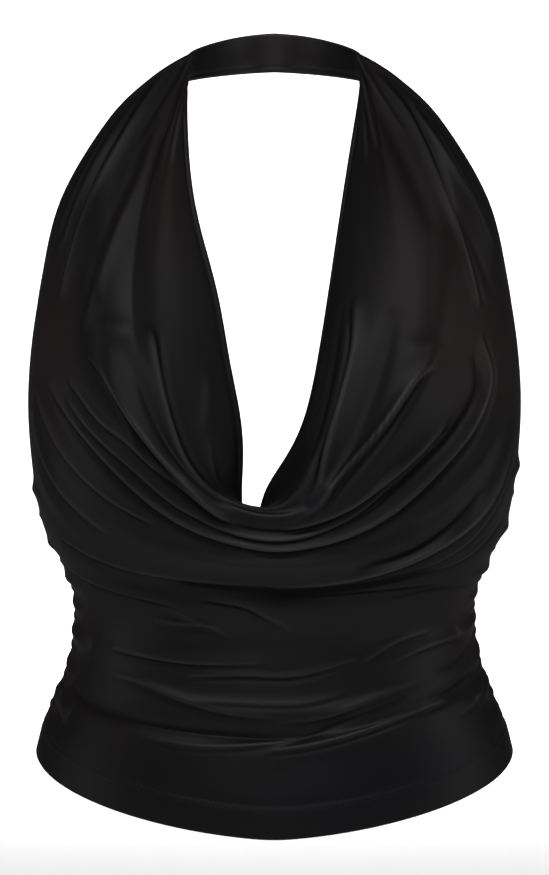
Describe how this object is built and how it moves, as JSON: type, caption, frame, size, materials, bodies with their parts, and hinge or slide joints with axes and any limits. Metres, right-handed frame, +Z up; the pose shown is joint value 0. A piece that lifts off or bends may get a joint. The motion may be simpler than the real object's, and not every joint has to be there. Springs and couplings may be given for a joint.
{
  "type": "halter neck top",
  "caption": "Women's halter neck top with a deep draped cowl front, a narrow neck band, gathered side seams, a low open back and a curved hem, in the hollow form it has when worn.",
  "frame": {"origin": "inner face of the neck band at its centre back seam, where the wearer's nape carries the top", "axes": "+Z up, the garment faces -Y, +X is the wearer's left"},
  "size_m": [0.304, 0.2436, 0.4967],
  "materials": {
    "body_jersey": "black fine-gauge slinky jersey with a soft low sheen",
    "band_jersey": "the same black jersey, folded double and stitched"
  },
  "bodies": {
    "root": {"front": "body_jersey", "back": "body_jersey", "neck_band_left": "band_jersey", "neck_band_right": "band_jersey"}
  },
  "joints": []
}
